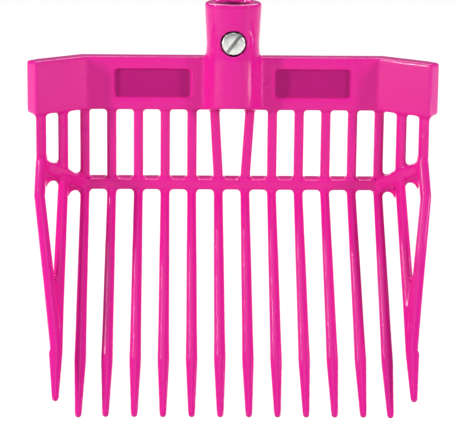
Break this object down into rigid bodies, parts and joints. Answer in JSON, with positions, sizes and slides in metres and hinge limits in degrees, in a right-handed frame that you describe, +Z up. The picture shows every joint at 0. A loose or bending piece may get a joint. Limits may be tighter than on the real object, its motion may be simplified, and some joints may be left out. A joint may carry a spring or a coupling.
{
  "type": "manure fork head",
  "caption": "Moulded basket manure fork head: handle socket, header with folded wings, grille of bars and forward-leaning tapered tines, with a slotted handle bolt and captive nut.",
  "frame": {"origin": "centre of the socket mouth, on the handle axis", "axes": "+Z up the handle out of the socket, -Y the hollow working side that the tines lean to, +X to the right seen from that side"},
  "size_m": [0.281, 0.1821, 0.249],
  "materials": {
    "head_plastic": "self-coloured hot pink moulding, smooth and glossy",
    "bolt_steel": "bright slotted steel head with turned faces",
    "nut_steel": "bright zinc-plated steel"
  },
  "bodies": {
    "fork_head": {"handle_socket": "head_plastic", "left_panel": "head_plastic", "right_panel": "head_plastic", "left_wing": "head_plastic", "right_wing": "head_plastic", "cross_bar": "head_plastic", "left_side_rail": "head_plastic", "right_side_rail": "head_plastic", "grille_bar_01": "head_plastic", "grille_bar_02": "head_plastic", "grille_bar_03": "head_plastic", "grille_bar_04": "head_plastic", "grille_bar_05": "head_plastic", "grille_bar_06": "head_plastic", "grille_bar_07": "head_plastic", "grille_bar_08": "head_plastic", "grille_bar_09": "head_plastic", "grille_bar_10": "head_plastic", "grille_bar_11": "head_plastic", "grille_bar_12": "head_plastic", "left_wing_bar": "head_plastic", "right_wing_bar": "head_plastic", "left_end_bar": "head_plastic", "right_end_bar": "head_plastic", "floor_tine_01": "head_plastic", "floor_tine_02": "head_plastic", "floor_tine_03": "head_plastic", "floor_tine_04": "head_plastic", "floor_tine_05": "head_plastic", "floor_tine_06": "head_plastic", "floor_tine_07": "head_plastic", "floor_tine_08": "head_plastic", "floor_tine_09": "head_plastic", "floor_tine_10": "head_plastic", "floor_tine_11": "head_plastic", "floor_tine_12": "head_plastic", "left_side_tine": "head_plastic", "right_side_tine": "head_plastic", "left_outer_tine": "head_plastic", "right_outer_tine": "head_plastic"},
    "handle_bolt": {"handle_bolt": "bolt_steel"},
    "lock_nut": {"lock_nut": "nut_steel"}
  },
  "joints": [
    {"name": "bolt_turn", "type": "hinge", "parent": "fork_head", "child": "handle_bolt", "pos_m": [0, 0, -0.0263], "axis": [0, -1, 0], "range_deg": [0, 720]},
    {"name": "nut_travel", "type": "slide", "parent": "fork_head", "child": "lock_nut", "axis": [0, 1, 0], "range_m": [0, 0.0025]}
  ],
  "couplings": [
    {"joint": "bolt_turn", "follows": "nut_travel", "rad_per_m": 5026.5}
  ]
}
